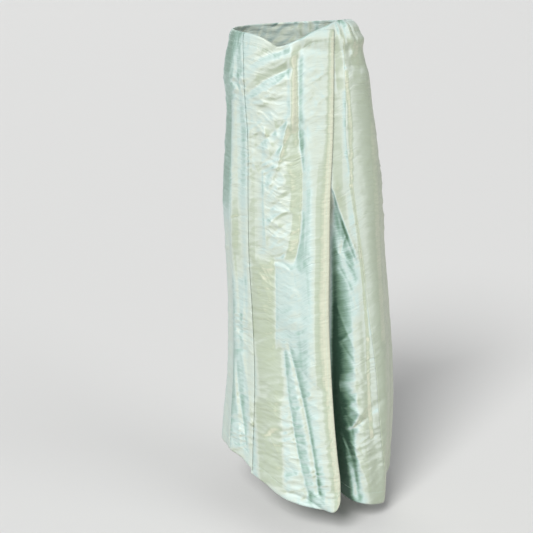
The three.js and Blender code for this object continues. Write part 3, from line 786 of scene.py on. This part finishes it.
def make_sheet(name, left, right, waist, hem, forward, relief=lambda *_: 0, shades=inner_shade):
    """Adds the piece of the skirt between two lines, from waist to hem, as a grid of its own size."""
    cols, rows = SIZES[name]
    across, down = np.linspace(0, 1, cols)[None, :], np.linspace(0, 1, rows)[:, None]
    top_angle = left(0.0) + (right(0.0) - left(0.0)) * across
    hem_angle = left(FULL_DROP) + (right(FULL_DROP) - left(FULL_DROP)) * across
    start = -along(waist, "rise", top_angle)
    end = along(hem, "drop", hem_angle)
    drop = start + (end - start) * down
    angle = left(drop) + (right(drop) - left(drop)) * across
    run = np.radians(angle) * GIRTH
    edges = turned_edge(drop - start, run, WAIST_TURN, 3) + turned_edge(end - drop, run, HEM_TURN, 5)
    points = place(angle, drop, forward(angle, drop), edges + relief(angle, drop))
    shade = front_share(angle) * shades(angle, drop)
    pieces[name] = sheet_mesh(name, points, facing_of_body(angle, drop), shade)
    print(f"{name}: {cols} by {rows} points, {2 * (cols - 1) * (rows - 1)} triangles a side")

# %% [markdown]
# The outer front. Its free edge has a hem only 10 mm wide, rolled over at the very edge, and its
# lower corner curls forward, as a light cloth does where two hems meet.

# %% The outer front
CURL_HEIGHT = 9
CURL_TOP, CURL_BOTTOM, CURL_REACH = 985, 1078, 42


def wrap_edge(angle, drop):
    """The narrow hem's relief down the free edge, fainter than that of the wide hems."""
    return 0.4 * turned_edge(beside("wrap", angle, drop), drop, WRAP_TURN, 9)


def corner_curl(angle, drop):
    """A curl that grows with the square of the distance into the lower corner."""
    down = ease(drop, CURL_TOP, CURL_BOTTOM)
    near = 1 - ease(beside("wrap", angle, drop), 0, CURL_REACH)
    return CURL_HEIGHT * (down * near) ** 2


make_sheet(
    "outer_front_cloth",
    lambda drop: line_angle("crisp", drop, -STRIP_LAP), lambda drop: line_angle("wrap", drop),
    OUTER_WAIST, OUTER_HEM,
    lambda angle, drop: outer_forward(angle, drop) + corner_curl(angle, drop),
    relief=wrap_edge, shades=outer_shade,
)

# %% [markdown]
# The strip: a pressed fold beside the outer front. Its front edge climbs onto the outer front and
# throws the fine shadow line that runs from waist to hem.


# %% The strip
def strip_lift(angle, drop):
    """Flat, then up by the cloth below it where it laps over the outer front."""
    return STRIP_LIFT * (1 - ease(beside("crisp", angle, drop), STRIP_LAP, STRIP_LAP + 20))


make_sheet(
    "strip_cloth",
    lambda drop: line_angle("ridge", drop), lambda drop: line_angle("crisp", drop),
    OUTER_WAIST, STRIP_HEM, outer_forward, relief=strip_lift, shades=strip_shade,
)

# %% [markdown]
# The under front shows only beyond the free edge, where its deep valley and painted shadow make the
# dark gap that lets the wearer step. Behind the outer front it goes on as far as the cloth really
# would.

# %% The under front
TUCK_X = -60
make_sheet(
    "under_front_cloth",
    lambda drop: angle_at(TUCK_X, drop), lambda drop: line_angle("side", drop),
    INNER_WAIST, INNER_HEM, inner_forward,
)

# %% [markdown]
# The back goes round from the side seam to the strip. Its flutes hang free and are a little crushed,
# as on the front.


# %% The back
def back_crush(angle, drop):
    """The back's own crumple, away from the seams that it shares."""
    hung_free = ease(angle, 75, 100) * (1 - ease(angle, 280, 296))
    return (crumple((BACK_CRUMPLE,), angle, drop) + crinkle(angle, drop)) * hung_free


make_sheet(
    "back_cloth",
    lambda drop: line_angle("side", drop), lambda drop: 360 + line_angle("ridge", drop),
    INNER_WAIST, INNER_HEM, back_forward, relief=back_crush,
)

# %% [markdown]
# Stitches. Each is a short thread that rises out of the cloth and goes back in: a tiny spindle, the
# same for all, set along the stitch lines. They are one mesh for each line.

# %% Stitches
STITCH_LENGTH = 2.3
STITCH_PITCH = 3.2
THREAD = 0.28


def spindle(sides=5):
    """Rings of points round a short line along x, thick in the middle and thin at the ends."""
    lengthwise, thick = np.array([-0.5, -0.3, 0.3, 0.5]), np.array([0.25, 1.0, 1.0, 0.25])
    turn = np.linspace(0, 2 * np.pi, sides, endpoint=False)
    ring = np.stack([np.zeros(sides), np.cos(turn), np.sin(turn)], axis=-1)
    points = lengthwise[:, None, None] * [STITCH_LENGTH, 0, 0] + thick[:, None, None] * THREAD * ring
    index = np.arange(4 * sides).reshape(4, sides)
    ahead = np.roll(index, -1, 1)
    quads = np.stack([index[:-1], ahead[:-1], ahead[1:], index[1:]], axis=-1)
    return points.reshape(-1, 3) * MM, quads.reshape(-1, 4), [index[0][::-1], index[3]]


def stitch_line(name, path, outward):
    """Spindles at even steps along a path, each turned along it and lifted to the face of the cloth."""
    steps = np.linalg.norm(np.diff(path, axis=0), axis=1)
    travel = np.concatenate([[0], np.cumsum(steps)])
    stops = np.arange(STITCH_PITCH, travel[-1] / MM - STITCH_PITCH, STITCH_PITCH) * MM

    def read(values, at):
        """The values of the path at some distances along it."""
        return np.stack([np.interp(at, travel, values[:, k]) for k in range(3)], axis=-1)

    middle, normal = read(path, stops), read(outward, stops)
    x_axis = unit(read(path, stops + MM) - middle)
    z_axis = unit(normal - (normal * x_axis).sum(1, keepdims=True) * x_axis)
    turn = np.stack([x_axis, np.cross(z_axis, x_axis), z_axis], axis=1)
    points, quads, caps = spindle()
    placed = np.einsum("pk,nkj->npj", points, turn) + (middle + z_axis * THREAD * 0.4 * MM)[:, None]
    first = np.arange(len(stops))[:, None, None] * len(points)
    faces = (quads[None] + first).reshape(-1, 4).tolist()
    for cap in caps:
        faces += (cap[None] + first[:, 0]).tolist()
    mesh = bpy.data.meshes.new(name)
    mesh.from_pydata(placed.reshape(-1, 3).tolist(), [], faces)
    mesh.polygons.foreach_set("use_smooth", np.ones(len(mesh.polygons), dtype=bool))
    print(f"{name}: {len(stops)} stitches")
    return add_object(name, mesh)


def line_on(cloth, pick):
    """Points and outward directions along one row or column of a sheet, from the sheet's own mesh."""
    cols, rows = SIZES[cloth]
    points = np.empty(cols * rows * 3)
    pieces[cloth].data.vertices.foreach_get("co", points)
    points = points.reshape(rows, cols, 3)
    return pick(points), pick(grid_normals(points))


SHEET_LENGTH = 1060
OUTER_WIDTH = 225
stitches = {}
for cloth, (cols, rows) in SIZES.items():
    for where, turn in (("waist", WAIST_TURN), ("hem", HEM_TURN)):
        steps_in = turn / SHEET_LENGTH * (rows - 1)
        row = int(round(steps_in if where == "waist" else rows - 1 - steps_in))
        name = f"{cloth.replace('_cloth', '')}_{where}_stitches"
        stitches[name] = (cloth, stitch_line(name, *line_on(cloth, lambda values: values[row])))
column = int(round((SIZES["outer_front_cloth"][0] - 1) * (1 - WRAP_TURN / OUTER_WIDTH)))
edge_line = line_on("outer_front_cloth", lambda values: values[:, column])
stitches["wrap_edge_stitches"] = ("outer_front_cloth", stitch_line("wrap_edge_stitches", *edge_line))

# %% [markdown]
# The finish. Shader maths reads best as Python sums, so a small class wraps a socket: adding or
# multiplying two of them adds a Math node, and one method adds any other node.


# %% A socket that can be used in sums
class Socket:
    """One output of a node, in a material's tree."""

    def __init__(self, tree, plug=None):
        self.tree, self.plug = tree, plug

    def node(self, kind, settings=None, sockets=None, output=0):
        """Adds a shader node: its settings first, then the values or links of its sockets."""
        made = self.tree.nodes.new("ShaderNode" + kind)
        for key, value in (settings or {}).items():
            if key == "stops":
                ramp = made.color_ramp
                while len(ramp.elements) < len(value):
                    ramp.elements.new(0.5)
                for element, (spot, colour) in zip(ramp.elements, value):
                    element.position, element.color = spot, (*colour, 1.0)
            else:
                setattr(made, key, value)
        for key, value in (sockets or {}).items():
            if isinstance(value, Socket):
                self.tree.links.new(value.plug, made.inputs[key])
            else:
                made.inputs[key].default_value = value
        return Socket(self.tree, made.outputs[output] if made.outputs else None)

    def maths(self, operation, other):
        """A Math node of this socket and another one or a number."""
        return self.node("Math", {"operation": operation}, {0: self, 1: other})

    def __add__(self, other):
        return self.maths("ADD", other)

    def __sub__(self, other):
        return self.maths("SUBTRACT", other)

    def __mul__(self, other):
        return self.maths("MULTIPLY", other)

    __radd__ = __add__


def new_finish(name):
    """An empty material, and a socket to build its nodes from."""
    material = bpy.data.materials.new(name)
    material.use_nodes = True
    material.node_tree.nodes.clear()
    return material, Socket(material.node_tree)

# %% [markdown]
# Shot taffeta. The facing picks the colour, from the painted shadow's dark green through blue-white
# to olive and cream. Long thin streaks along the weft are the slub, the thick places of the yarn, and
# broader ones are the finest crinkle, which comes in patches. The same streaks make the bump, and
# the slub varies the gloss a little.


# %% Shot taffeta
SHOT_COLOURS_AND_PAINTED_SHADE = [
    # The two darkest stops are painted shadow; the olive ones are darker partly as painted shade.
    (0.02, (0.030, 0.075, 0.048)),
    (0.12, (0.125, 0.215, 0.152)),
    (0.24, (0.280, 0.405, 0.352)),
    (0.35, (0.450, 0.558, 0.530)),
    (0.46, (0.490, 0.560, 0.500)),
    (0.53, (0.500, 0.556, 0.480)),
    (0.60, (0.420, 0.478, 0.385)),
    (0.70, (0.390, 0.448, 0.335)),
    (0.82, (0.555, 0.576, 0.450)),
]


def taffeta(name):
    """Colour from the facing, the streaks and the blotches, and bump from the streaks alone."""
    material, start = new_finish(name)
    facing = start.node("Attribute", {"attribute_name": "facing"}, output=2)
    cloth = start.node("UVMap", {"uv_map": "cloth"})

    def streaks(across, down, **sockets):
        """Noise with long grains: the cloth's map is stretched before the noise is read."""
        factors = {0: cloth, 1: (across, down, 1)}
        scaled = start.node("VectorMath", {"operation": "MULTIPLY"}, factors)
        return start.node("TexNoise", None, {"Vector": scaled, "Scale": 1.0, **sockets})

    slub = streaks(38, 420, Detail=2.0)
    yarn = streaks(90, 1500, Detail=1.0)
    ripple = streaks(17, 150, Detail=2.0, Distortion=0.6)
    blotch = start.node("TexNoise", None, {"Vector": cloth, "Scale": 22.0, "Detail": 2.0})
    patch = start.node("TexNoise", None, {"Vector": cloth, "Scale": 11.0, "Detail": 3.0})
    limits = {"Value": patch, "From Min": 0.38, "From Max": 0.62}
    crushed = start.node("MapRange", None, limits)
    crisp = (ripple - 0.5) * (crushed * 0.75 + 0.25)
    shade = facing + (slub - 0.5) * 0.09 + crisp * 0.15 + (blotch - 0.5) * 0.06
    colour = start.node("ValToRGB", {"stops": SHOT_COLOURS_AND_PAINTED_SHADE}, {"Fac": shade})
    lighter = 0.90 + slub * 0.12 + yarn * 0.08
    grey = start.node("CombineColor", None, dict.fromkeys(("Red", "Green", "Blue"), lighter))
    mixed = start.node("Mix", {"data_type": "RGBA", "blend_type": "MULTIPLY"},
                       {"Factor": 1.0, 6: colour, 7: grey}, output=2)
    height = crisp * 1.9 + slub * 0.5 + yarn * 0.2
    bump = start.node("Bump", None, {"Height": height, "Strength": 0.75, "Distance": 0.0013})
    surface = start.node("BsdfPrincipled", None, {
        "Base Color": mixed, "Roughness": 0.36 + slub * 0.12, "Normal": bump,
        "Specular IOR Level": 0.5, "Sheen Weight": 0.15, "Sheen Roughness": 0.35,
        "Sheen Tint": (0.90, 1.0, 0.97, 1.0),
    })
    start.node("OutputMaterial", None, {"Surface": surface})
    print(f"material {name}: {len(start.tree.nodes)} nodes")
    return material


cloth_finish = taffeta("shot_taffeta")

# %% [markdown]
# The sewing thread is a little greener than the cloth. Its plies are twisted round each other, so
# fine slanting stripes of painted shade and light run across each stitch, where the grooves between
# the plies would be; they are read from the object's own coordinates.

# %% Thread
thread_finish, thread = new_finish("sewing_thread")
twist = thread.node("TexCoord", output=3)
rope = {"Vector": twist, "Scale": 900.0}
ply = thread.node("TexWave", {"bands_direction": "DIAGONAL"}, rope)
thread_colour_and_ply_shade = thread.node("ValToRGB", {
    "stops": [(0.0, (0.46, 0.62, 0.54)), (1.0, (0.62, 0.76, 0.68))]}, {"Fac": ply})
thread_look = {"Base Color": thread_colour_and_ply_shade, "Roughness": 0.5}
thread_surface = thread.node("BsdfPrincipled", None, thread_look)
thread.node("OutputMaterial", None, {"Surface": thread_surface})
print("material sewing_thread:", len(thread.tree.nodes), "nodes")

# %% [markdown]
# The finish and the frame. Each sheet gets the taffeta, hides the plain solid that it stands for,
# and rides on the one body.

# %% Finish and frame
CUTS = {
    "outer_front_cloth": ("front_overlap", (0.255, 1.09), 0.232),
    "strip_cloth": ("side_pleat", (0.066, 1.02), 0.061),
    "under_front_cloth": ("under_front", (0.30, 1.13), 0.271),
    "back_cloth": ("back_panel", (0.83, 1.12), 0.78),
}
for name, (node, *_) in CUTS.items():
    piece = pieces[name]
    piece.data.materials.append(cloth_finish)
    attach(piece, "root")
    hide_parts(node)
for _, piece in stitches.values():
    piece.data.materials.append(thread_finish)
    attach(piece, "root")
print("sheets declared:", sorted(CUTS))

# %% [markdown]
# The floor is plain and pale, and so large that its far edge stays out of the picture. The skirt
# hangs a little above it, as it does on a wearer.

# %% Floor
FLOOR_DROP = 1.150
FLOOR_REACH = 60.0
floor_mesh = bpy.data.meshes.new("floor")
corners = [(-1, -1), (1, -1), (1, 1), (-1, 1)]
places = [(x * FLOOR_REACH, y * FLOOR_REACH, -FLOOR_DROP) for x, y in corners]
floor_mesh.from_pydata(places, [], [(0, 1, 2, 3)])
floor = add_object("floor", floor_mesh)
floor_finish = bpy.data.materials.new("pale_floor")
floor_finish.use_nodes = True
floor_look = floor_finish.node_tree.nodes["Principled BSDF"].inputs
floor_look["Base Color"].default_value = (0.64, 0.64, 0.63, 1.0)
floor_look["Roughness"].default_value = 0.9
floor_look["Specular IOR Level"].default_value = 0.1
floor_mesh.materials.append(floor_finish)
print("floor at", -FLOOR_DROP, "m")

# %% [markdown]
# Soft studio light. Three suns that each look several times wider than the real one throw soft
# shadows: a strong one from the left of the camera, a weak one from its right and a weak one from
# behind, under a pale sky.


# %% Light
def soft_sun(name, from_left, above, spread, power):
    """A sun by its place in the sky, in degrees: its spread is what makes its shadows soft."""
    lamp = bpy.data.lights.new(name, "SUN")
    lamp.angle, lamp.energy = np.radians(spread), power
    add_object(name, lamp).rotation_euler = (np.radians(90 - above), 0, np.radians(-from_left))


soft_sun("key", 22, 38, 24, 3.35)
soft_sun("fill", -55, 25, 40, 0.85)
soft_sun("back", 170, 22, 40, 0.7)
world = bpy.data.worlds.new("studio")
bpy.context.scene.world = world
world.use_nodes = True
sky = world.node_tree.nodes["Background"].inputs
sky["Color"].default_value = (0.97, 0.98, 1.0, 1.0)
sky["Strength"].default_value = 0.30
print("a key light, a fill light, a back light and a pale sky")

# %% [markdown]
# The camera stands a little above the waist and looks down by fifteen degrees, so that the waist
# shows as an open oval and the hem curves down at the front.

# %% Camera
PHOTO_WIDTH = 533
FOCAL_PIXELS = 1131
CAMERA_SPOT = (-0.057, -2.6, 0.15)
LOOK_DOWN = 15
camera = bpy.data.cameras.new("camera")
camera.sensor_width = 36.0
camera.lens = FOCAL_PIXELS / PHOTO_WIDTH * camera.sensor_width
viewer = add_object("camera", camera)
viewer.location = CAMERA_SPOT
viewer.rotation_euler = (np.radians(90 - LOOK_DOWN), 0, 0)
bpy.context.scene.camera = viewer
bpy.context.scene.view_settings.view_transform = "Standard"
print("lens of", round(camera.lens, 1), "mm")
